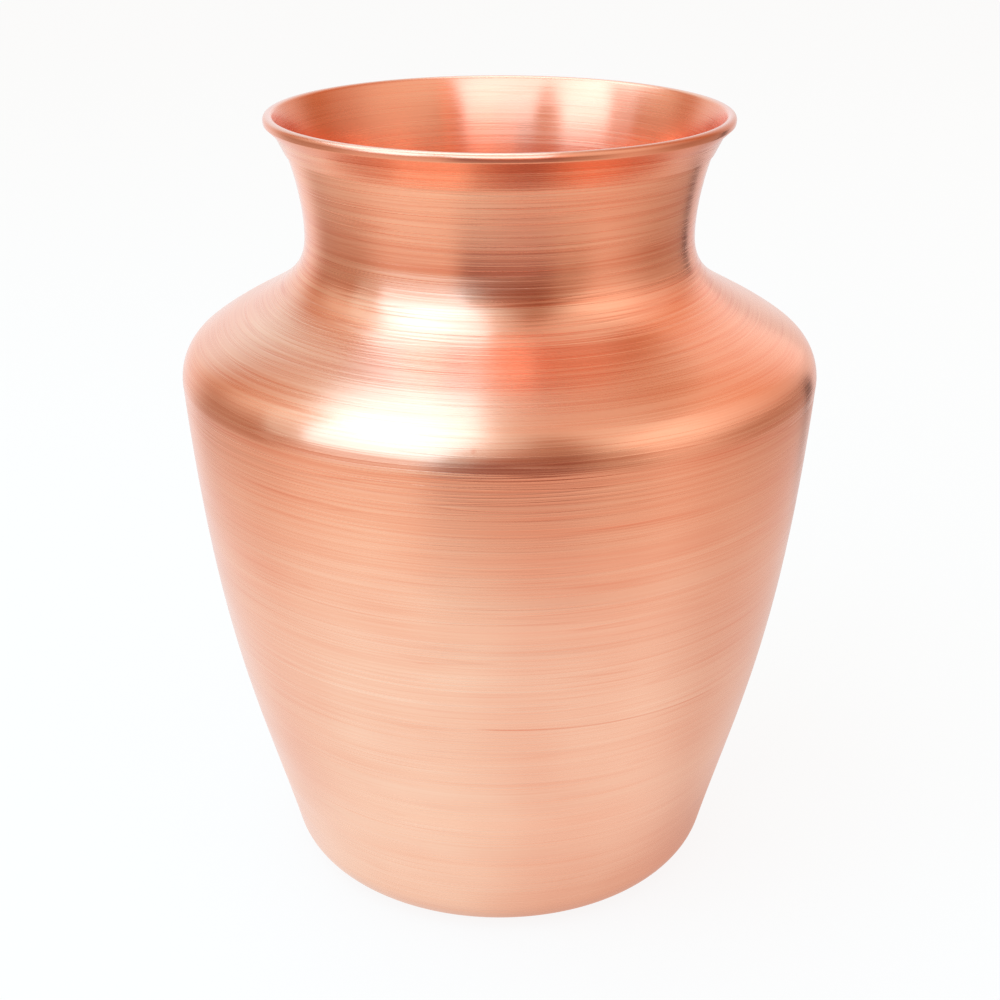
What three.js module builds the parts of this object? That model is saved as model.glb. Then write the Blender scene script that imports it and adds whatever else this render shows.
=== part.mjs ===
// Copper lota, a small water pot of spun copper sheet.
// Millimetres, +Z up. The origin is the centre of the standing face, on the pot's axis.
// Every piece is a body of revolution: a tapered belly shell with a base disc let into it,
// a shoulder shell, a flared neck collar hemmed over a rim wire, and three brazed seams.

import * as THREE from "three";

// Outline of the pot, outside of the sheet
const footRadius = 32.9;
const footCornerRadius = 8.8;
const bellyRise = 98.6;
const bellyRadius = 58.15;
const crownRadius = 8.3;
const shoulderRise = 25.1;
const waistRadius = 35.05;
const neckRise = 21.3;
const lipRadius = 41.4;

// Leans of the wall from the vertical, in degrees
const footLean = 14;
const bellyLean = 3.8;
const crownTurn = 52;
const lipLean = 30;

// Where the lip's roll starts underneath and where the wire's hole ends, in degrees from outward
const rollUnderside = -50;
const wireHoleEnd = -130;

// Sheet, wire and hem
const sheet = 0.5;
const wireDiameter = 0.8;
const wireClearance = 0.02;
const hemDepth = 6.4;
const hemRootDepth = 3.15;
const hemRootBulge = 0.42;
const hemEdge = 0.12;
const hemSlit = 0.06;

// Base disc
const standingRingWidth = 8.9;
const baseDiscSheet = 0.6;
const baseDiscInset = 1.6;
const baseDish = 1.4;

// Brazed seams
const brazeWeb = 0.3;
const brazeBead = 0.5;
const brazeFilletWidth = 1.0;
const brazeFilletHeight = 0.55;
const brazeClearance = 0.03;

// How far each curve holds its end direction, as a share of its chord
const bodyFootShare = 0.29;
const bodyBellyShare = 0.54;
const sweepCrownShare = 0.41;
const sweepWaistShare = 0.385;
const collarWaistShare = 0.3;
const collarLipShare = 0.28;

// How far a bead's flank points stand in and up, as shares of its size
const beadFlankShare = 0.6;
const beadFlankRiseShare = 0.5;

// Outline points closer together than this share of the sheet are one point
const samePointShare = 0.001;

// Facets
const turnSegments = 48;
const cornerSteps = 5;
const bodySteps = 10;
const bellyArcSteps = 1;
const crownSteps = 5;
const sweepSteps = 8;
const collarSteps = 9;
const lipSteps = 9;
const wireHoleSteps = 8;
const slitSteps = 3;
const wireSides = 8;
const dishSteps = 4;
const halvings = 40;

// Heights and radii that follow
const waistHeight = bellyRise + shoulderRise;
const rimHeight = waistHeight + neckRise;
const wireHoleRadius = wireDiameter / 2 + wireClearance;
const lipRollRadius = wireHoleRadius + sheet;
const lipRollCentre = new THREE.Vector2(lipRadius - lipRollRadius, rimHeight - lipRollRadius);
const standingRingInnerRadius = footRadius - standingRingWidth;
const baseDiscRadius = footRadius - baseDiscInset;

const copper = { color: 0xe39a78, roughness: 0.3, metalness: 1.0 };
const braze = { color: 0xc99a6c, roughness: 0.45, metalness: 1.0 };

function point(radius, height) {
  return new THREE.Vector2(radius, height);
}

// The direction of a wall that leans outward by an angle as it rises
function leanDirection(degrees) {
  const angle = THREE.MathUtils.degToRad(degrees);
  return point(Math.sin(angle), Math.cos(angle));
}

// A point on a circle; its angle is in degrees, counted upward from the outward direction
function arcPoint(centre, radius, degrees) {
  const angle = THREE.MathUtils.degToRad(degrees);
  return point(centre.x + radius * Math.cos(angle), centre.y + radius * Math.sin(angle));
}

// Points on an arc, both ends included
function arcPoints(centre, radius, fromDegrees, toDegrees, steps) {
  const points = [];
  for (let i = 0; i <= steps; i += 1) {
    const share = i / steps;
    points.push(arcPoint(centre, radius, fromDegrees + (toDegrees - fromDegrees) * share));
  }
  return points;
}

// A smooth wall line that leaves one point and meets another at given leans
function wallCurve(start, startLean, startShare, end, endLean, endShare) {
  const chord = start.distanceTo(end);
  const startHandle = start.clone().addScaledVector(leanDirection(startLean), chord * startShare);
  const endHandle = end.clone().addScaledVector(leanDirection(endLean), -chord * endShare);
  return new THREE.CubicBezierCurve(start, startHandle, endHandle, end);
}

// Points along a wall line, moved towards the axis by a distance square to the line
function wallPoints(curve, inward, steps) {
  const points = [];
  for (let i = 0; i <= steps; i += 1) {
    const along = curve.getTangent(i / steps);
    const place = curve.getPoint(i / steps);
    points.push(point(place.x - along.y * inward, place.y + along.x * inward));
  }
  return points;
}

// Joins runs of points, without the second copy of a point where two runs meet
function joinRuns(...runs) {
  const points = [];
  for (const next of runs.flat()) {
    const last = points[points.length - 1];
    if (!last || last.distanceTo(next) > sheet * samePointShare) {
      points.push(next);
    }
  }
  return points;
}

function reversed(points) {
  return points.slice().reverse();
}

// A closed ring or, with a profile that ends on the axis, a disc, turned about +Z
function turned(name, profile, look) {
  const geometry = new THREE.LatheGeometry(profile, turnSegments);
  geometry.rotateX(Math.PI / 2);
  const mesh = new THREE.Mesh(geometry, new THREE.MeshStandardMaterial(look));
  mesh.name = name;
  return mesh;
}

function closedRing(name, outline, look) {
  return turned(name, [...outline, outline[0].clone()], look);
}

// Belly wall line: foot corner, long tapered side, and the turn up to the widest circle
const cornerCentre = point(footRadius, footCornerRadius);
const crownCentre = point(bellyRadius - crownRadius, bellyRise);
const sideFoot = arcPoint(cornerCentre, footCornerRadius, -footLean);
const sideTop = arcPoint(crownCentre, crownRadius, -bellyLean);
const sideLine = wallCurve(sideFoot, footLean, bodyFootShare, sideTop, bellyLean, bodyBellyShare);

function bellyWall(inward) {
  const corner = arcPoints(cornerCentre, footCornerRadius - inward, -90, -footLean, cornerSteps);
  const turn = arcPoints(crownCentre, crownRadius - inward, -bellyLean, 0, bellyArcSteps);
  return joinRuns(corner, wallPoints(sideLine, inward, bodySteps), turn);
}

// The belly shell turns in under the pot as the flat ring it stands on
function makeBellyShell() {
  const underside = [point(standingRingInnerRadius, 0)];
  const floor = [point(standingRingInnerRadius, sheet)];
  const outline = joinRuns(underside, bellyWall(0), reversed(bellyWall(sheet)), floor);
  return closedRing("belly_shell", outline, copper);
}

// Shoulder wall line, from the top of the belly seam round the crown and in to the waist
const crownEnd = arcPoint(crownCentre, crownRadius, crownTurn);
const waist = point(waistRadius, waistHeight);
const sweepLine = wallCurve(crownEnd, -crownTurn, sweepCrownShare, waist, 0, sweepWaistShare);

function shoulderWall(inward) {
  const arcRadius = crownRadius - inward;
  const startAngle = THREE.MathUtils.radToDeg(Math.asin(brazeWeb / arcRadius));
  const crown = arcPoints(crownCentre, arcRadius, startAngle, crownTurn, crownSteps);
  return joinRuns(crown, wallPoints(sweepLine, inward, sweepSteps));
}

function makeShoulder() {
  const outline = joinRuns(shoulderWall(0), reversed(shoulderWall(sheet)));
  return closedRing("shoulder", outline, copper);
}

// Neck wall line, from the top of the neck seam to where the sheet starts to roll
const rollStart = arcPoint(lipRollCentre, wireHoleRadius, 180 - lipLean);
const collarFoot = point(waistRadius, waistHeight + brazeWeb);
const collarLine = wallCurve(collarFoot, 0, collarWaistShare, rollStart, lipLean, collarLipShare);

// Radius of the neck's outer wall at a height, found by halving along its line
function collarRadiusAt(height) {
  let low = 0;
  let high = 1;
  for (let i = 0; i < halvings; i += 1) {
    const middle = (low + high) / 2;
    if (collarLine.getPoint(middle).y < height) {
      low = middle;
    } else {
      high = middle;
    }
  }
  return collarLine.getPoint(low).x;
}

// The neck's outer wall between two heights
function collarOutside(fromHeight, toHeight, steps) {
  const points = [];
  for (let i = 0; i <= steps; i += 1) {
    const height = fromHeight + ((toHeight - fromHeight) * i) / steps;
    points.push(point(collarRadiusAt(height), height));
  }
  return points;
}

// The sheet rolls outward over the wire and its edge is dressed down on the neck as a hem
function makeNeckCollar() {
  const hemHeight = rimHeight - hemDepth;
  const rootHeight = rimHeight - hemRootDepth;
  const outerWall = collarOutside(collarFoot.y, hemHeight, collarSteps);
  const slit = collarOutside(hemHeight, rootHeight, slitSteps);
  const hemInside = reversed(slit).map((place) => point(place.x + hemSlit, place.y));
  const hemOutside = [
    point(collarRadiusAt(hemHeight) + hemSlit + hemEdge, hemHeight),
    point(collarRadiusAt(rootHeight) + hemSlit + hemRootBulge, rootHeight),
  ];
  const lip = arcPoints(lipRollCentre, lipRollRadius, rollUnderside, 180 - lipLean, lipSteps);
  const wireHole = arcPoints(lipRollCentre, wireHoleRadius, 180 - lipLean, wireHoleEnd, wireHoleSteps);
  const innerWall = reversed(wallPoints(collarLine, sheet, collarSteps));
  const outline = joinRuns(outerWall, slit, wireHole, hemInside, hemOutside, lip, innerWall);
  return closedRing("neck_collar", outline, copper);
}

function makeRimWire() {
  const circle = arcPoints(lipRollCentre, wireDiameter / 2, -180, 180, wireSides);
  return turned("rim_wire", circle, copper);
}

// The base disc lies on the standing ring inside the pot and is dished up in the middle
function makeBaseDisc() {
  const underside = [];
  for (let i = 0; i <= dishSteps; i += 1) {
    const share = i / dishSteps;
    const height = sheet + baseDish * (1 - share * share);
    underside.push(point(standingRingInnerRadius * share, height));
  }
  const edge = [point(baseDiscRadius, sheet), point(baseDiscRadius, sheet + baseDiscSheet)];
  const top = reversed(underside).map((place) => point(place.x, place.y + baseDiscSheet));
  return turned("base_disc", joinRuns(underside, edge, top), copper);
}

// A butt seam: a web of braze between two sheet edges, with a low bead inside the pot
function makeSeam(name, radius, height) {
  const inside = radius - sheet;
  const top = height + brazeWeb;
  const flankIn = brazeBead * beadFlankShare;
  const flankRise = brazeBead * beadFlankRiseShare;
  const outline = [
    point(radius, height),
    point(radius, top),
    point(inside, top),
    point(inside - flankIn, top + flankRise),
    point(inside - brazeBead, height + brazeWeb / 2),
    point(inside - flankIn, height - flankRise),
    point(inside, height),
  ];
  return closedRing(name, outline, braze);
}

// A fillet of braze in the corner between the base disc's edge and the standing ring
function makeBaseSeam() {
  const inner = baseDiscRadius + brazeClearance;
  const outline = [
    point(inner, sheet),
    point(inner + brazeFilletWidth, sheet),
    point(inner, sheet + brazeFilletHeight),
  ];
  return closedRing("base_braze", outline, braze);
}

const lota = new THREE.Group();
lota.name = "copper_lota";
lota.add(
  makeBellyShell(),
  makeBaseDisc(),
  makeBaseSeam(),
  makeSeam("belly_braze", bellyRadius, bellyRise),
  makeShoulder(),
  makeSeam("neck_braze", waistRadius, waistHeight),
  makeNeckCollar(),
  makeRimWire(),
);

export default lota;
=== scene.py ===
import math

import bpy
import numpy as np
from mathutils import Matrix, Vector


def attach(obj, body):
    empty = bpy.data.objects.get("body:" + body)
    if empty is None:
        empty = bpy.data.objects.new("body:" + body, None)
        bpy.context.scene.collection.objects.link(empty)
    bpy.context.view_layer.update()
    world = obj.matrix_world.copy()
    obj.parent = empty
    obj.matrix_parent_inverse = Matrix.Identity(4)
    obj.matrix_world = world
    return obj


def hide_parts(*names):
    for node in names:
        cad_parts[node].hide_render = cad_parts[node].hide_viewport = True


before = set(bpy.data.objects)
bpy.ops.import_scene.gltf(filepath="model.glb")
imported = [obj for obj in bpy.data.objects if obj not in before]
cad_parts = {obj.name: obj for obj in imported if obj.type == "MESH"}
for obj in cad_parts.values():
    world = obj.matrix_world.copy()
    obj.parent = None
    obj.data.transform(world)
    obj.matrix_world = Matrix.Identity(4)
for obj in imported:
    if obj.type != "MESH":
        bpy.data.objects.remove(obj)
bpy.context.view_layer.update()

bpy.context.scene.view_settings.view_transform = "Standard"

MM = 0.001

# Outline of the pot, in millimetres and degrees, as in the CAD source
FOOT_RADIUS = 32.9
FOOT_CORNER = 8.8
FOOT_LEAN = 14
BELLY_RISE = 98.6
BELLY_RADIUS = 58.15
BELLY_LEAN = 3.8
CROWN_RADIUS = 8.3
CROWN_TURN = 52
WAIST_RISE = 123.7
WAIST_RADIUS = 35.05
RIM_RISE = 145.0
LIP_RADIUS = 41.4
LIP_LEAN = 30
SHEET = 0.5
RING_INNER = 24.0

# Base disc and its braze
DISC_RADIUS = 31.3
DISC_SHEET = 0.6
DISH = 1.4
DISH_STEPS = 24
FILLET_WIDTH = 1.0
FILLET_HEIGHT = 0.55
FILLET_GAP = 0.03

# Butt seams
WEB = 0.3
BEAD = 0.5
BEAD_RISE = 0.25
BEAD_STEPS = 12

# Wire, and the lip rolled over it
WIRE_RADIUS = 0.4
WIRE_STEPS = 24
HOLE_RADIUS = 0.42
ROLL_RADIUS = 0.92

# Where the darker lip copper of the roll ends, inside the mouth, in degrees from outward
ROLL_OUTSIDE_END = 105

# The lip's outer band stands a little in from the roll and ends below in a tight turn
BAND_INSET = 0.04
BAND_FOOT_RADIUS = 0.8
BAND_FOOT_RISE = 143.8
BAND_FOOT_TURN = 25

# The hem under the lip, and how far its edge and its root stand off the neck
HEM_LOW = 138.6
HEM_HIGH = 141.85
HEM_LOW_STEP = 0.3
HEM_HIGH_STEP = 0.68

# How far each wall curve holds its end direction, as a share of its chord
BODY_SHARES = (0.29, 0.54)
SWEEP_SHARES = (0.41, 0.385)
COLLAR_SHARES = (0.3, 0.28)

# Faces round the pot, and the angle in degrees from which an edge is sharp
SEGMENTS = 384
SHARP_ANGLE = 32

# Profile points closer than this are one point
SAME_POINT = 0.0001

# Rings that the spinning tool left: their least and largest half width, and the deepest one
RING_WIDTHS = (0.8, 2.2)
RING_HEIGHT = 0.006

# How much of a ring goes all the way round, and how much only on its deeper side
RING_EVEN = 0.6
RING_UNEVEN = 0.4


# Profile lines
def lean(degrees):
    a = math.radians(degrees)
    return np.array([math.sin(a), math.cos(a)])


def arc_point(centre, radius, degrees):
    a = math.radians(degrees)
    return np.array([centre[0] + radius * math.cos(a), centre[1] + radius * math.sin(a)])


def arc(centre, radius, start, end, steps):
    turns = [start + (end - start) * i / steps for i in range(steps + 1)]
    return np.array([arc_point(centre, radius, turn) for turn in turns])


def wall(start, start_lean, end, end_lean, shares, steps, inward=0.0):
    """A smooth line between two points at given leans, moved inward by a distance square to it."""
    chord = np.linalg.norm(end - start)
    a = start + lean(start_lean) * chord * shares[0]
    b = end - lean(end_lean) * chord * shares[1]
    t = np.linspace(0, 1, steps + 1)[:, None]
    place = (1 - t) ** 3 * start + 3 * (1 - t) ** 2 * t * a + 3 * (1 - t) * t * t * b + t ** 3 * end
    along = (1 - t) ** 2 * (a - start) + 2 * (1 - t) * t * (b - a) + t * t * (end - b)
    along /= np.linalg.norm(along, axis=1)[:, None]
    return place + inward * np.stack([-along[:, 1], along[:, 0]], axis=1)


corner_centre = np.array([FOOT_RADIUS, FOOT_CORNER])
crown_centre = np.array([BELLY_RADIUS - CROWN_RADIUS, BELLY_RISE])
side_foot = arc_point(corner_centre, FOOT_CORNER, -FOOT_LEAN)
side_top = arc_point(crown_centre, CROWN_RADIUS, -BELLY_LEAN)
crown_end = arc_point(crown_centre, CROWN_RADIUS, CROWN_TURN)
waist = np.array([WAIST_RADIUS, WAIST_RISE])
lip_centre = np.array([LIP_RADIUS - ROLL_RADIUS, RIM_RISE - ROLL_RADIUS])
roll_start = arc_point(lip_centre, HOLE_RADIUS, 180 - LIP_LEAN)


def belly_line(inward):
    corner = arc(corner_centre, FOOT_CORNER - inward, -90, -FOOT_LEAN, 28)
    side = wall(side_foot, FOOT_LEAN, side_top, BELLY_LEAN, BODY_SHARES, 260, inward)
    turn = arc(crown_centre, CROWN_RADIUS - inward, -BELLY_LEAN, 0, 4)
    return np.concatenate([corner, side[1:], turn[1:]])


def shoulder_line(inward):
    first = math.degrees(math.asin(WEB / (CROWN_RADIUS - inward)))
    crown = arc(crown_centre, CROWN_RADIUS - inward, first, CROWN_TURN, 36)
    sweep = wall(crown_end, -CROWN_TURN, waist, 0, SWEEP_SHARES, 110, inward)
    return np.concatenate([crown, sweep[1:]])


def collar_line(inward, steps=90):
    foot = np.array([WAIST_RADIUS, WAIST_RISE + WEB])
    return wall(foot, 0, roll_start, LIP_LEAN, COLLAR_SHARES, steps, inward)


def collar_radius(height):
    line = collar_line(0, 400)
    return float(np.interp(height, line[:, 1], line[:, 0]))


def tool_rings(length, spacing, seed):
    """Shallow rings along a profile of that length, as (place along it, half width, height, deeper side)."""
    dice = np.random.default_rng(seed)
    rings = []
    place = spacing * dice.random()
    while place < length:
        rings.append((place, dice.uniform(*RING_WIDTHS), dice.uniform(-RING_HEIGHT, RING_HEIGHT),
                      dice.uniform(-math.pi, math.pi)))
        place += spacing * dice.uniform(0.5, 1.5)
    return rings


def ring_height(rings, place, turn):
    """How far the rings move a profile point outward, at each turn round the pot."""
    total = np.zeros_like(turn)
    for middle, width, height, side in rings:
        if abs(place - middle) < 3 * width:
            bulge = height * math.exp(-((place - middle) / width) ** 2)
            total += bulge * (RING_EVEN + RING_UNEVEN * np.cos(turn - side))
    return total


# Meshes of revolution
def same_point(a, b):
    return np.hypot(a[0] - b[0], a[1] - b[1]) < SAME_POINT


def revolve(name, runs, closed=True, looks=None, rings=()):
    """A piece turned about Z from runs of profile points. looks gives each run's material index, and rings
    are left on the faces of look 0."""
    points = []
    look_of = []
    for number, run in enumerate(runs):
        run = [tuple(p) for p in run]
        if points and same_point(points[-1], run[0]):
            run = run[1:]
        points.extend(run)
        look_of.extend([looks[number] if looks else 0] * len(run))
    if closed and same_point(points[0], points[-1]):
        points.pop()
    points = np.array(points)
    count = len(points)
    length = np.concatenate([[0.0], np.cumsum(np.hypot(*np.diff(points, axis=0).T))])
    turn = np.linspace(0, 2 * math.pi, SEGMENTS, endpoint=False)
    verts = []
    travelled = []
    index = np.zeros((count, SEGMENTS), int)
    for i, (radius, height) in enumerate(points):
        if radius < SAME_POINT:
            index[i] = len(verts)
            verts.append((0.0, 0.0, height * MM))
            travelled.append(length[i] * MM)
        else:
            index[i] = np.arange(SEGMENTS) + len(verts)
            out = radius + (ring_height(rings, length[i], turn) if look_of[i] == 0 else 0 * turn)
            flat = np.full(SEGMENTS, height * MM)
            verts.extend(zip(out * np.cos(turn) * MM, out * np.sin(turn) * MM, flat))
            travelled.extend([length[i] * MM] * SEGMENTS)
    faces = []
    face_looks = []
    for i in range(count if closed else count - 1):
        j = (i + 1) % count
        for k in range(SEGMENTS):
            m = (k + 1) % SEGMENTS
            face = [index[i, k], index[i, m], index[j, m], index[j, k]]
            face = [v for n, v in enumerate(face) if v != face[n - 1]]
            if len(face) >= 3:
                faces.append(tuple(int(v) for v in face))
                face_looks.append(look_of[j])
    mesh = bpy.data.meshes.new(name)
    mesh.from_pydata(verts, [], faces)
    mesh.update()
    mesh.polygons.foreach_set("material_index", face_looks)
    travel = mesh.attributes.new("travel", "FLOAT", "POINT")
    travel.data.foreach_set("value", np.array(travelled, np.float32))
    mesh.shade_smooth()
    mesh.set_sharp_from_angle(angle=math.radians(SHARP_ANGLE))
    piece = bpy.data.objects.new(name, mesh)
    bpy.context.scene.collection.objects.link(piece)
    return piece


def dress(piece, node, slot, *materials):
    for material in materials:
        piece.data.materials.append(material)
    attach(piece, "root")
    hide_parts(node)
    return piece


# Node graphs
class Graph:
    def __init__(self, tree):
        self.tree = tree
        tree.nodes.clear()

    def node(self, kind, **settings):
        made = self.tree.nodes.new(kind)
        for key, value in settings.items():
            setattr(made, key, value)
        return made

    def feed(self, socket, value):
        """Links a socket to another node's output, or sets it to a number or a colour."""
        if isinstance(value, bpy.types.NodeSocket):
            self.tree.links.new(value, socket)
        elif isinstance(value, (int, float)):
            socket.default_value = value
        else:
            socket.default_value = (*value, 1.0)[:len(socket.default_value)]

    def math(self, operation, a, b=0.0):
        made = self.node("ShaderNodeMath", operation=operation)
        self.feed(made.inputs[0], a)
        self.feed(made.inputs[1], b)
        return made.outputs[0]

    def add(self, a, b):
        return self.math("ADD", a, b)

    def minus(self, a, b):
        return self.math("SUBTRACT", a, b)

    def times(self, a, b):
        return self.math("MULTIPLY", a, b)

    def apart(self, a, b):
        """How far two numbers are from each other."""
        return self.math("ABSOLUTE", self.minus(a, b))

    def distance(self, vector, point):
        made = self.node("ShaderNodeVectorMath", operation="DISTANCE")
        self.feed(made.inputs[0], vector)
        self.feed(made.inputs[1], point)
        return made.outputs["Value"]

    def ramp(self, value, low, high, out_low=0.0, out_high=1.0, smooth=True):
        made = self.node("ShaderNodeMapRange", interpolation_type="SMOOTHSTEP" if smooth else "LINEAR")
        self.feed(made.inputs["Value"], value)
        self.feed(made.inputs["From Min"], low)
        self.feed(made.inputs["From Max"], high)
        self.feed(made.inputs["To Min"], out_low)
        self.feed(made.inputs["To Max"], out_high)
        return made.outputs["Result"]

    def either_way(self, value, span, size):
        """Noise that lies within that span, as a change from -size to size."""
        return self.ramp(value, *span, -size, size, smooth=False)

    def blend(self, factor, first, second):
        made = self.node("ShaderNodeMix", data_type="RGBA")
        self.feed(made.inputs["Factor"], factor)
        self.feed(made.inputs["A"], first)
        self.feed(made.inputs["B"], second)
        return made.outputs["Result"]

    def stops(self, value, stops, interpolation="LINEAR"):
        """A colour that changes with a value; stops are (value from 0 to 1, colour)."""
        made = self.node("ShaderNodeValToRGB")
        self.feed(made.inputs[0], value)
        made.color_ramp.interpolation = interpolation
        elements = made.color_ramp.elements
        while len(elements) < len(stops):
            elements.new(0.5)
        for element, (place, colour) in zip(elements, stops):
            element.position = place
            element.color = (*colour, 1.0)
        return made.outputs[0]

    def azimuth(self, x, y):
        """Turn round the pot in radians; 0 is the pot's front, + goes to the front's right."""
        return self.math("ARCTAN2", x, self.times(y, -1.0))

    def around(self, azimuth, stops):
        """A colour that changes round the pot; stops are (degrees from the front, + to the right; colour)."""
        turn = self.add(self.times(azimuth, 0.5 / math.pi), 0.5)
        return self.stops(turn, [(degrees / 360 + 0.5, colour) for degrees, colour in stops], "EASE")

    def place(self, output="Object"):
        """The place as a vector, and as x, y and z."""
        made = self.node("ShaderNodeTexCoord").outputs[output]
        split = self.node("ShaderNodeSeparateXYZ")
        self.feed(split.inputs[0], made)
        return made, *split.outputs

    def noise(self, vector, detail):
        made = self.node("ShaderNodeTexNoise")
        self.feed(made.inputs["Vector"], vector)
        made.inputs["Scale"].default_value = 1.0
        made.inputs["Detail"].default_value = detail
        made.inputs["Roughness"].default_value = 0.5
        return made.outputs["Fac"]


def new_material(name):
    material = bpy.data.materials.new(name)
    material.use_nodes = True
    return material, Graph(material.node_tree)


# Brush marks round the pot: length and width in millimetres, and a shift that makes each kind's noise its own
FINE = dict(length=50.0, width=0.35, detail=1.0, shift=3.1)
MEDIUM = dict(length=90.0, width=1.0, detail=1.0, shift=17.3)
DASHES = dict(length=24.0, width=0.5, detail=1.0, shift=83.9)
WIDE = dict(length=200.0, width=5.5, detail=1.0, shift=41.7)
PATCHES = dict(length=32.0, width=20.0, detail=2.0, shift=71.3)
HAIRS = dict(length=110.0, width=1.6, share=0.02, shift=29.7)
COARSE = dict(length=60.0, width=1.4, share=0.05, shift=53.9)

# The grain is this share of fine marks, and the rest medium ones
FINE_SHARE = 0.7

# Noise lies within these spans, and dashes are where it passes from the first value to the second
GRAIN_SPAN = (0.3, 0.7)
BROAD_SPAN = (0.25, 0.75)
DASH_SPAN = (0.57, 0.7)

# How much the marks change the colour, and the share of that where they are absent and at a depth of 2
GRAIN_TINT = 0.15
WIDE_TINT = 0.05
LINE_TINT = 0.1
PATCH_TINT = 0.09
SCRATCH_TINT = 0.3
TINT_AT_DEPTH = (0.2, 1.4)
FULL_DEPTH = 2.0

# How much of that change each of red, green and blue takes
TINT_OF_MARKS = (0.3, 1.0, 1.2)

# How much the marks change the roughness
GRAIN_ROUGHNESS = 0.04
WIDE_ROUGHNESS = 0.03
DRESSED_ROUGHNESS = 0.06

# How high the marks stand, as shares of the mark height in metres
MARK_HEIGHT = 0.000012
FINE_RIDGE = 1.3
MEDIUM_RIDGE = 0.6
WIDE_RIDGE = 0.9
HAIR_GROOVE = 0.5
COARSE_RIDGE = 0.3
DRESSED_RIDGE = 0.5

# Two bands of coarse dressing marks: their middle, and where they start and stop to fade
EDGE_BAND = (BELLY_RISE, 2.0, 6.0)
ROOT_BAND = (117.5, 3.0, 8.0)

# A long scratch on the belly: its height at the front, its rise per radian to the right, its width, and where
# it starts, is strongest, starts to fade and ends, in radians
SCRATCH_RISE = 50.6
SCRATCH_SLANT = -1.5
SCRATCH_WIDTH = 0.28
SCRATCH_START = -0.1
SCRATCH_FULL = 0.0
SCRATCH_FADE = 0.65
SCRATCH_END = 0.95

# Small nicks, as points on the outside
NICKS = [(-4.0, -56.8, 102.4), (30.8, -47.3, 101.8), (-6.6, -36.6, 22.8)]
NICK_RADIUS = 0.7

# Colours at the foot, from the shoulder up, inside, on the lip, and of the braze
# The paler foot colours, here and of the braze, are painted light from the bright floor that the lower metal
# reflects
COPPER_LOW_PAINTED_LIGHT = (0.95, 0.46, 0.30)
COPPER_HIGH = (0.94, 0.345, 0.19)
# Painted shade: the inside is deeper and redder, standing in for the shade and the copper-tinted light
# bouncing within the pot
COPPER_INSIDE_PAINTED_SHADE = (0.93, 0.29, 0.15)
COPPER_LIP = (0.88, 0.29, 0.155)
BRAZE_LOW_PAINTED_LIGHT = (0.94, 0.37, 0.215)
BRAZE_HIGH = (0.94, 0.36, 0.2)

# Heights in metres between which the first colour gives way to the second; a paler first colour is painted
# light from the bright floor
PAINTED_LIGHT_FADE = (0.055, 0.098)

# How deep the marks are, at heights in metres
OUTSIDE_MARKS = [
    (0.0, 0.3), (0.03, 0.4), (0.06, 0.9), (0.088, 1.0), (0.094, 1.4), (0.098, 1.7),
    (0.104, 1.0), (0.112, 1.3), (0.118, 2.0), (0.126, 2.0), (0.145, 2.0),
]
INSIDE_MARKS = [(0.0, 0.6), (0.145, 0.6)]


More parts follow.
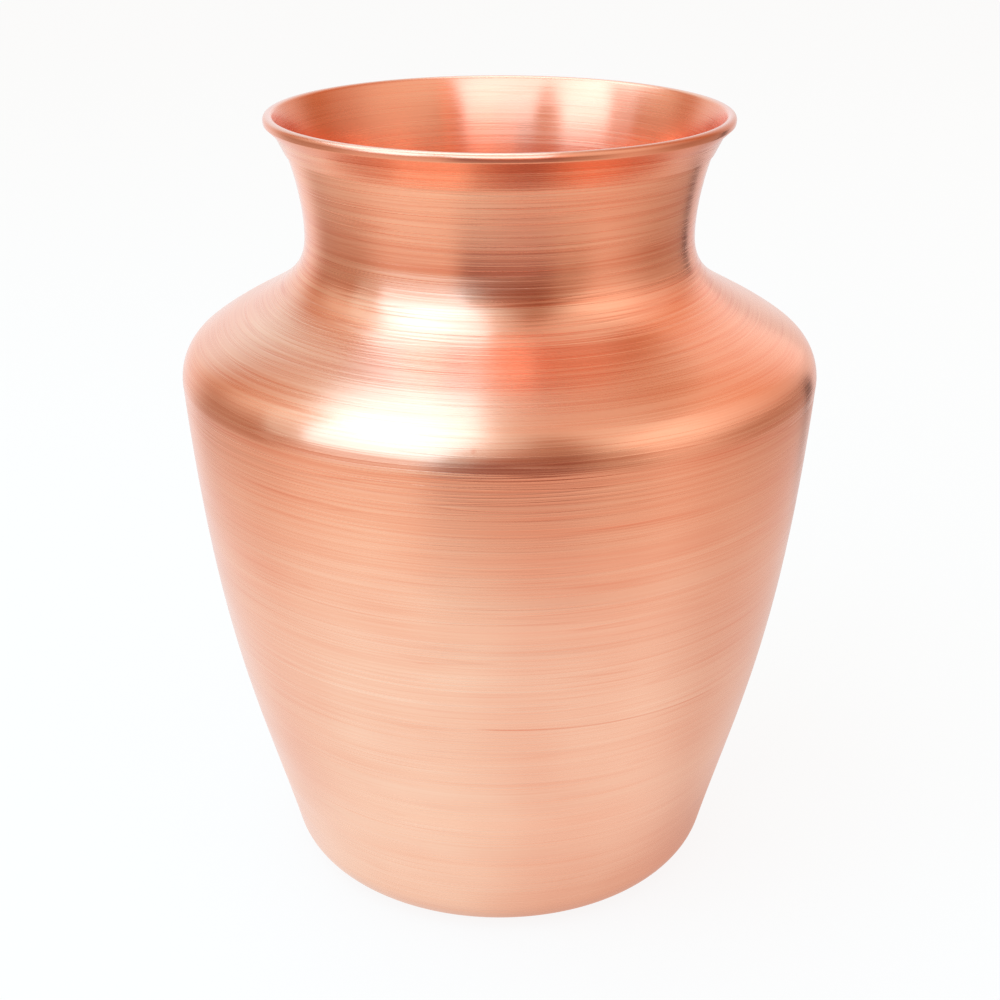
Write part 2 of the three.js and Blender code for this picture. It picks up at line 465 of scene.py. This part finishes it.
def brushed_copper(name, base_low, base_high, roughness, anisotropy, marks):
    """Copper brushed round the pot. Its colour goes from base_low at the foot to base_high at the shoulder.
    marks are (height in metres, depth of the brush marks) stops."""
    material, g = new_material(name)
    out = g.node("ShaderNodeOutputMaterial")
    shader = g.node("ShaderNodeBsdfPrincipled")
    g.feed(out.inputs["Surface"], shader.outputs[0])
    shader.inputs["Metallic"].default_value = 1.0
    shader.inputs["Anisotropic"].default_value = anisotropy
    shader.inputs["Anisotropic Rotation"].default_value = 0.25
    tangent = g.node("ShaderNodeTangent", direction_type="RADIAL", axis="Z")
    g.feed(shader.inputs["Tangent"], tangent.outputs[0])
    place, x, y, z = g.place()
    travel = g.node("ShaderNodeAttribute", attribute_name="travel").outputs["Fac"]

    def lines(length, width, detail, shift):
        """Noise drawn out round the pot."""
        join = g.node("ShaderNodeCombineXYZ")
        g.feed(join.inputs[0], g.add(g.times(x, 1 / (length * MM)), shift))
        g.feed(join.inputs[1], g.times(y, 1 / (length * MM)))
        g.feed(join.inputs[2], g.times(travel, 1 / (width * MM)))
        return g.noise(join.outputs[0], detail)

    def scratches(length, width, share, shift):
        """Thin long lines where drawn-out noise passes its middle; share is how wide they are."""
        return g.ramp(g.apart(lines(length, width, 0.0, shift), 0.5), 0.0, share, 1.0, 0.0)

    def band(middle, near, far):
        return g.ramp(g.apart(z, middle * MM), near * MM, far * MM, 1.0, 0.0)

    fine = lines(**FINE)
    medium = lines(**MEDIUM)
    dashes = g.ramp(lines(**DASHES), *DASH_SPAN)
    wide = lines(**WIDE)
    patches = lines(**PATCHES)
    hairs = scratches(**HAIRS)
    coarse = scratches(**COARSE)
    grain = g.add(g.times(fine, FINE_SHARE), g.times(medium, 1 - FINE_SHARE))
    dressed = g.times(coarse, g.add(band(*EDGE_BAND), band(*ROOT_BAND)))
    top = marks[-1][0]
    depth = g.stops(g.times(z, 1 / top), [(height / top, (strength,) * 3) for height, strength in marks])

    side = g.azimuth(x, y)
    slant = g.add(g.times(side, SCRATCH_SLANT * MM), SCRATCH_RISE * MM)
    scratch = g.ramp(g.apart(z, slant), 0.0, SCRATCH_WIDTH * MM, 1.0, 0.0)
    scratch = g.times(scratch, g.ramp(side, SCRATCH_START, SCRATCH_FULL))
    scratch = g.times(scratch, g.ramp(side, SCRATCH_FADE, SCRATCH_END, 1.0, 0.0))
    for spot in NICKS:
        gap = g.distance(place, [MM * v for v in spot])
        scratch = g.math("MAXIMUM", scratch, g.ramp(gap, 0.0, NICK_RADIUS * MM, 1.0, 0.0))

    tint = g.add(g.either_way(grain, GRAIN_SPAN, GRAIN_TINT), g.either_way(wide, BROAD_SPAN, WIDE_TINT))
    tint = g.minus(tint, g.times(g.add(hairs, dashes), LINE_TINT))
    tint = g.times(tint, g.ramp(depth, 0.0, FULL_DEPTH, *TINT_AT_DEPTH, smooth=False))
    tint = g.add(tint, g.either_way(patches, BROAD_SPAN, PATCH_TINT))
    tint = g.minus(tint, g.times(scratch, SCRATCH_TINT))
    change = g.node("ShaderNodeVectorMath", operation="SCALE")
    g.feed(change.inputs[0], TINT_OF_MARKS)
    g.feed(change.inputs["Scale"], tint)
    # Painted light: where base_low is paler, the foot takes the bright floor's light into its colour
    body = g.blend(g.ramp(z, *PAINTED_LIGHT_FADE), base_low, base_high)
    tone = g.node("ShaderNodeVectorMath", operation="MULTIPLY_ADD")
    for socket, value in zip(tone.inputs, (change.outputs[0], body, body)):
        g.feed(socket, value)
    g.feed(shader.inputs["Base Color"], tone.outputs[0])

    smoothest, roughest = roughness - GRAIN_ROUGHNESS, roughness + GRAIN_ROUGHNESS
    rough = g.ramp(grain, *GRAIN_SPAN, smoothest, roughest, smooth=False)
    rough = g.add(rough, g.either_way(wide, BROAD_SPAN, WIDE_ROUGHNESS))
    g.feed(shader.inputs["Roughness"], g.add(rough, g.times(dressed, DRESSED_ROUGHNESS)))

    ridge = g.add(g.times(fine, FINE_RIDGE), g.times(medium, MEDIUM_RIDGE))
    ridge = g.add(ridge, g.times(wide, WIDE_RIDGE))
    ridge = g.minus(ridge, g.times(hairs, HAIR_GROOVE))
    ridge = g.add(ridge, g.times(coarse, COARSE_RIDGE))
    ridge = g.add(ridge, g.times(dressed, DRESSED_RIDGE))
    bump = g.node("ShaderNodeBump")
    bump.inputs["Strength"].default_value = 1.0
    bump.inputs["Distance"].default_value = MARK_HEIGHT
    g.feed(bump.inputs["Height"], g.times(ridge, depth))
    g.feed(shader.inputs["Normal"], bump.outputs[0])
    return material


copper = brushed_copper("brushed_copper", COPPER_LOW_PAINTED_LIGHT, COPPER_HIGH, 0.27, 0.8, OUTSIDE_MARKS)
# The inside of the pot takes the deeper colour, as painted shade
copper_inside = brushed_copper("brushed_copper_inside_painted_shade", COPPER_INSIDE_PAINTED_SHADE, COPPER_INSIDE_PAINTED_SHADE, 0.27, 0.8, INSIDE_MARKS)
lip_copper = brushed_copper("darker_lip_copper", COPPER_LIP, COPPER_LIP, 0.27, 0.7, INSIDE_MARKS)
wire_copper = brushed_copper("drawn_copper", COPPER_HIGH, COPPER_HIGH, 0.3, 0.5, INSIDE_MARKS)
braze_metal = brushed_copper("brushed_braze", BRAZE_LOW_PAINTED_LIGHT, BRAZE_HIGH, 0.28, 0.8, OUTSIDE_MARKS)

# Pieces
belly = revolve("belly_spun", [
    [(RING_INNER, 0.0), (FOOT_RADIUS - 0.01, 0.0)],
    belly_line(0),
    belly_line(SHEET)[::-1],
    [(RING_INNER, SHEET)],
], looks=[0, 0, 1, 1], rings=tool_rings(length=112.0, spacing=2.4, seed=5))
dress(belly, "belly_shell", "copper_sheet", copper, copper_inside)

shoulder = revolve("shoulder_spun", [shoulder_line(0), shoulder_line(SHEET)[::-1]], looks=[0, 1],
                   rings=tool_rings(length=38.0, spacing=2.2, seed=8))
dress(shoulder, "shoulder", "copper_sheet", copper, copper_inside)

band_foot = (LIP_RADIUS - BAND_INSET - BAND_FOOT_RADIUS, BAND_FOOT_RISE)
hem_foot = collar_radius(HEM_LOW)
hem_top = collar_radius(HEM_HIGH)
below_hem = [p for p in collar_line(0) if p[1] < HEM_LOW]
band_turn = list(arc(band_foot, BAND_FOOT_RADIUS, -BAND_FOOT_TURN, 0, 8))
roll_outside = list(arc(lip_centre, ROLL_RADIUS, 0, ROLL_OUTSIDE_END, 22))
roll_inside = list(arc(lip_centre, ROLL_RADIUS, ROLL_OUTSIDE_END, 180 - LIP_LEAN, 8))
collar = revolve("neck_rolled", [
    below_hem + [(hem_foot, HEM_LOW)],
    [(hem_foot, HEM_LOW), (hem_foot + HEM_LOW_STEP, HEM_LOW)],
    [(hem_foot + HEM_LOW_STEP, HEM_LOW), (hem_top + HEM_HIGH_STEP, HEM_HIGH)],
    band_turn + roll_outside,
    roll_inside + list(collar_line(SHEET)[::-1]),
], looks=[0, 0, 0, 2, 1])
dress(collar, "neck_collar", "copper_sheet", copper, copper_inside, lip_copper)

wire = revolve("rim_wire_drawn", [arc(lip_centre, WIRE_RADIUS, -180, 180, WIRE_STEPS)])
dress(wire, "rim_wire", "copper_wire", wire_copper)


def seam(name, node, radius, height):
    """A butt seam's web, flush outside, with a low bead inside the pot."""
    inside = radius - SHEET
    middle = height + WEB / 2
    turns = np.linspace(math.pi / 2, -math.pi / 2, BEAD_STEPS + 1)[1:-1]
    bead = [(inside - BEAD * math.cos(a), middle + (WEB / 2 + BEAD_RISE) * math.sin(a)) for a in turns]
    piece = revolve(name, [[(radius, height), (radius, height + WEB)], [(inside, height + WEB)], bead,
                           [(inside, height)]])
    return dress(piece, node, "braze", braze_metal)


seams = [
    seam("belly_seam", "belly_braze", BELLY_RADIUS, BELLY_RISE),
    seam("neck_seam", "neck_braze", WAIST_RADIUS, WAIST_RISE),
]

share = np.linspace(0, 1, DISH_STEPS + 1)
under = np.stack([RING_INNER * share, SHEET + DISH * (1 - share ** 2)], axis=1)
disc = revolve("base_disc_spun", [under, [(DISC_RADIUS, SHEET), (DISC_RADIUS, SHEET + DISC_SHEET)],
                                  (under + [0, DISC_SHEET])[::-1]], closed=False)
dress(disc, "base_disc", "copper_sheet", copper)

inner = DISC_RADIUS + FILLET_GAP
fillet = revolve("base_seam", [[(inner, SHEET), (inner + FILLET_WIDTH, SHEET)],
                               [(inner + FILLET_WIDTH, SHEET), (inner, SHEET + FILLET_HEIGHT)]])
dress(fillet, "base_braze", "braze", braze_metal)

# Camera: how far it is from a point on the axis, and how steeply it looks down
CAMERA_DISTANCE = 0.31824
CAMERA_DROP = math.radians(22.611)
LOOK_AT = Vector((0.0, 0.0, 0.07069))
camera_data = bpy.data.cameras.new("camera")
camera = bpy.data.objects.new("camera", camera_data)
bpy.context.scene.collection.objects.link(camera)
camera_data.sensor_width = 36.0
camera_data.lens = 59.4
camera_data.shift_x = 0.0004
camera_data.clip_start = 0.01
back = Vector((0.0, -math.cos(CAMERA_DROP), math.sin(CAMERA_DROP)))
camera.location = LOOK_AT + back * CAMERA_DISTANCE
camera.rotation_mode = "QUATERNION"
camera.rotation_quaternion = (-back).to_track_quat("-Z", "Y")
bpy.context.scene.camera = camera

# Floor
FLOOR_HALF = 4.0
FLOOR_CORNERS = [(-FLOOR_HALF, -FLOOR_HALF, 0), (FLOOR_HALF, -FLOOR_HALF, 0), (FLOOR_HALF, FLOOR_HALF, 0),
                 (-FLOOR_HALF, FLOOR_HALF, 0)]
floor_mesh = bpy.data.meshes.new("floor")
floor_mesh.from_pydata(FLOOR_CORNERS, [], [(0, 1, 2, 3)])
floor = bpy.data.objects.new("floor", floor_mesh)
bpy.context.scene.collection.objects.link(floor)

# Colours of the room's light, as the metal reflects it
BRIGHT = (1.0, 1.25, 1.35)
WHITE = (0.95, 1.05, 1.1)
GREY = (0.8, 0.8, 0.8)
DIM = (0.5, 0.45, 0.4)
DARK = (0.25, 0.12, 0.1)
COOL = (0.95, 1.7, 2.2)
WARM = (0.6, 0.3, 0.1)

# That light at degrees round the pot from its front, + to the right: on the floor by the pot, on the floor
# further out and at the foot of the walls, on the walls, and overhead
BY_THE_POT = [
    (-180, WHITE), (-90, WHITE), (-45, BRIGHT), (-15, BRIGHT), (15, WHITE), (45, WHITE), (80, GREY),
    (120, GREY), (180, WHITE),
]
ROOM = [
    (-180, BRIGHT), (-140, WHITE), (-115, DIM), (-90, DIM), (-60, GREY), (-30, GREY), (-15, DARK),
    (20, DARK), (40, DIM), (60, GREY), (100, DIM), (125, DIM), (145, GREY), (180, BRIGHT),
]
WALLS = [
    (-180, COOL), (-150, COOL), (-130, WARM), (-110, BRIGHT), (-85, GREY), (-10, GREY), (25, DIM),
    (45, BRIGHT), (75, BRIGHT), (100, GREY), (125, WARM), (145, GREY), (180, COOL),
]
OVERHEAD = [
    (-180, COOL), (-150, COOL), (-60, BRIGHT), (0, BRIGHT), (60, WHITE), (120, GREY), (180, COOL),
]

# Distances in metres from the axis between which the floor by the pot gives way to the floor further out
FAR_FLOOR = (0.16, 0.38)

# Elevations in degrees between which the foot of the walls gives way to the walls, and those to overhead
WALL_START = (0.0, 34.0)
OVERHEAD_START = (52.0, 80.0)

# A painted dark strip on the far floor behind the pot, on the right, which the metal shows as a painted dark
# reflection: its azimuth, half width and where it has faded
PAINTED_DARK_STRIP_AZIMUTH = math.radians(134)
PAINTED_DARK_STRIP_EDGES = (math.radians(2), math.radians(6.5))
PAINTED_DARK_STRIP_STRENGTH = 0.9
PAINTED_DARK_STRIP_COLOUR = (0.05, 0.03, 0.03)

# The pot's own shade on the floor close round it, a little to the right
SHADE_CENTRE = (0.008, 0.0, 0.0)
SHADE_EDGES = (0.034, 0.055)
SHADE_STRENGTH = 0.65
SHADE_COLOUR = (0.6, 0.4, 0.32)

# What the camera sees of the floor: its own light, and how it answers the lamps, so that it keeps the shadow
SEEN_GLOW = (0.882, 0.884, 0.888)
SEEN_MATT = (0.1, 0.075, 0.058)
REFLECTED_MATT = (0.04, 0.04, 0.04)
BACKDROP = (0.985, 0.985, 0.985)
FLOOR_WHITE = (0.85, 0.85, 0.85)


def seen_rays(g):
    """Whether a ray is the camera's, and whether it is the camera's or one that metal or glass shows."""
    path = g.node("ShaderNodeLightPath").outputs
    shown = g.math("MAXIMUM", path["Is Camera Ray"], path["Is Glossy Ray"])
    return path["Is Camera Ray"], g.math("MAXIMUM", shown, path["Is Transmission Ray"])


floor_white, g = new_material("floor_white")
out = g.node("ShaderNodeOutputMaterial")
at_camera, seen = seen_rays(g)
place, x, y, z = g.place()
azimuth = g.azimuth(x, y)
away = g.ramp(g.distance(place, (0.0, 0.0, 0.0)), *FAR_FLOOR)
pool = g.blend(away, g.around(azimuth, BY_THE_POT), g.around(azimuth, ROOM))
# Painted reflection: a dark strip in the floor's glow, which the metal shows as a thin dark line
painted_dark_strip = g.times(g.ramp(g.apart(azimuth, PAINTED_DARK_STRIP_AZIMUTH), *PAINTED_DARK_STRIP_EDGES, PAINTED_DARK_STRIP_STRENGTH, 0.0), away)
pool = g.blend(painted_dark_strip, pool, PAINTED_DARK_STRIP_COLOUR)
shade = g.ramp(g.distance(place, SHADE_CENTRE), *SHADE_EDGES, SHADE_STRENGTH, 0.0)
pool = g.blend(shade, pool, SHADE_COLOUR)
glow = g.node("ShaderNodeEmission")
g.feed(glow.inputs["Color"], g.blend(at_camera, pool, SEEN_GLOW))
matt = g.node("ShaderNodeBsdfDiffuse")
g.feed(matt.inputs["Color"], g.blend(at_camera, REFLECTED_MATT, SEEN_MATT))
both = g.node("ShaderNodeAddShader")
g.feed(both.inputs[0], glow.outputs[0])
g.feed(both.inputs[1], matt.outputs[0])
plain = g.node("ShaderNodeBsdfDiffuse")
g.feed(plain.inputs["Color"], FLOOR_WHITE)
choose = g.node("ShaderNodeMixShader")
for socket, value in zip(choose.inputs, (seen, plain.outputs[0], both.outputs[0])):
    g.feed(socket, value)
g.feed(out.inputs["Surface"], choose.outputs[0])
floor_mesh.materials.append(floor_white)

# World: white behind what the camera sees, and the room round the pot
world = bpy.data.worlds.new("room")
bpy.context.scene.world = world
world.use_nodes = True
g = Graph(world.node_tree)
out = g.node("ShaderNodeOutputWorld")
sky = g.node("ShaderNodeBackground")
g.feed(out.inputs["Surface"], sky.outputs[0])
at_camera, seen = seen_rays(g)
place, x, y, z = g.place("Generated")
azimuth = g.azimuth(x, y)
elevation = g.times(g.math("ARCSINE", z), 180 / math.pi)
upper = g.blend(g.ramp(elevation, *OVERHEAD_START), g.around(azimuth, WALLS), g.around(azimuth, OVERHEAD))
room = g.blend(g.ramp(elevation, *WALL_START), g.around(azimuth, ROOM), upper)
g.feed(sky.inputs["Color"], g.blend(at_camera, room, BACKDROP))

# Lamps aim at the axis at this height, in metres
LAMPS_AIM = Vector((0, 0, 0.115))


def area_light(name, width, depth, radiance, colour, azimuth=None, elevation=None, distance=0.7, above=None):
    """A flat lamp, in metres. It is seen from LAMPS_AIM at that azimuth and elevation in degrees, where 0
    is the front and + goes to the right. Or it hangs level at the place given as above."""
    data = bpy.data.lights.new(name, "AREA")
    data.shape = "RECTANGLE"
    data.size = width
    data.size_y = depth
    data.energy = radiance * math.pi * width * depth
    data.color = colour
    lamp = bpy.data.objects.new(name, data)
    bpy.context.scene.collection.objects.link(lamp)
    if above:
        towards = Vector((0, 0, 1))
        lamp.location = above
    else:
        a, e = math.radians(azimuth), math.radians(elevation)
        towards = Vector((math.sin(a) * math.cos(e), -math.cos(a) * math.cos(e), math.sin(e)))
        lamp.location = LAMPS_AIM + towards * distance
    lamp.rotation_mode = "QUATERNION"
    lamp.rotation_quaternion = towards.to_track_quat("Z", "Y")
    lamp.visible_camera = False
    return lamp


def only_for(lamps, lit):
    for lamp in lamps:
        group = bpy.data.collections.new(lamp.name + "_lights")
        for piece in lit:
            group.objects.link(piece)
        lamp.light_linking.receiver_collection = group


MOUTH_COOL = (0.35, 1.0, 1.75)
mouth_lamps = [
    area_light("mouth_left_softbox", 0.36, 0.50, 2.5, MOUTH_COOL, azimuth=-55, elevation=40),
    area_light("mouth_left_softbox_edge", 0.6, 0.6, 0.7, MOUTH_COOL, azimuth=-63, elevation=40),
    area_light("mouth_front_softbox", 0.50, 0.50, 2.8, MOUTH_COOL, azimuth=0, elevation=46),
    area_light("mouth_front_softbox_edge", 0.36, 0.5, 0.4, (1.0, 0.62, 0.45), azimuth=20, elevation=34),
    area_light("mouth_low_softbox", 0.36, 0.36, 0.45, (1.0, 0.7, 0.5), azimuth=5, elevation=14),
    area_light("rim_softbox", 0.75, 0.35, 3.0, MOUTH_COOL, above=(-0.27, 0.15, 0.7)),
]
outside_lamps = [
    area_light("left_softbox", 0.66, 0.64, 1.85, (0.3, 1.0, 1.87), azimuth=-44, elevation=34),
    area_light("left_softbox_edge", 1.18, 0.93, 0.65, (0.3, 1.0, 1.45), azimuth=-47.5, elevation=37.8),
    area_light("overhead_softbox", 0.42, 0.52, 2.1, (0.3, 1.0, 1.8), above=(-0.25, -0.087, 0.715)),
    area_light("right_softbox", 1.7, 0.57, 0.36, (0.8, 1.0, 1.15), azimuth=98.5, elevation=27.5),
]
only_for(mouth_lamps, [collar])
only_for(outside_lamps, [belly, shoulder, wire, disc, fillet, floor] + seams)
